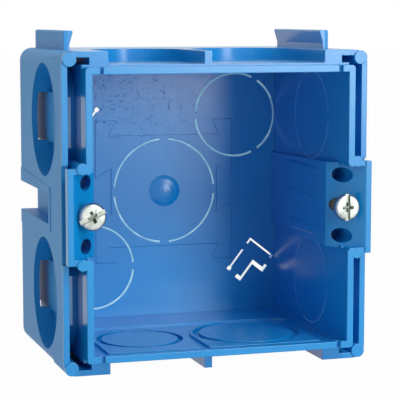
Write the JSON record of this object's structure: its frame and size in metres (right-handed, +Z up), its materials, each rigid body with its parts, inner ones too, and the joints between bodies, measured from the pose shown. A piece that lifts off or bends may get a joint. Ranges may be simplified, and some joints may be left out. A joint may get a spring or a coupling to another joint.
{
  "type": "flush back box",
  "caption": "Square moulded back box for a flush wiring device, with an inner box inside outer plates, cable spouts, side knockouts, slanted screw bosses and linking hooks.",
  "frame": {"origin": "on the plane of the bottom plate, under the middle of the box's width and depth", "axes": "+X to the right and +Y to the rear as seen from the open front, +Z up"},
  "size_m": [0.0724, 0.05, 0.0764],
  "materials": {
    "blue_plastic": "glossy mid-blue moulding",
    "zinc_steel": "bright zinc plate"
  },
  "bodies": {
    "root": {"box": "blue_plastic", "fixing_screws": "zinc_steel"}
  },
  "joints": []
}
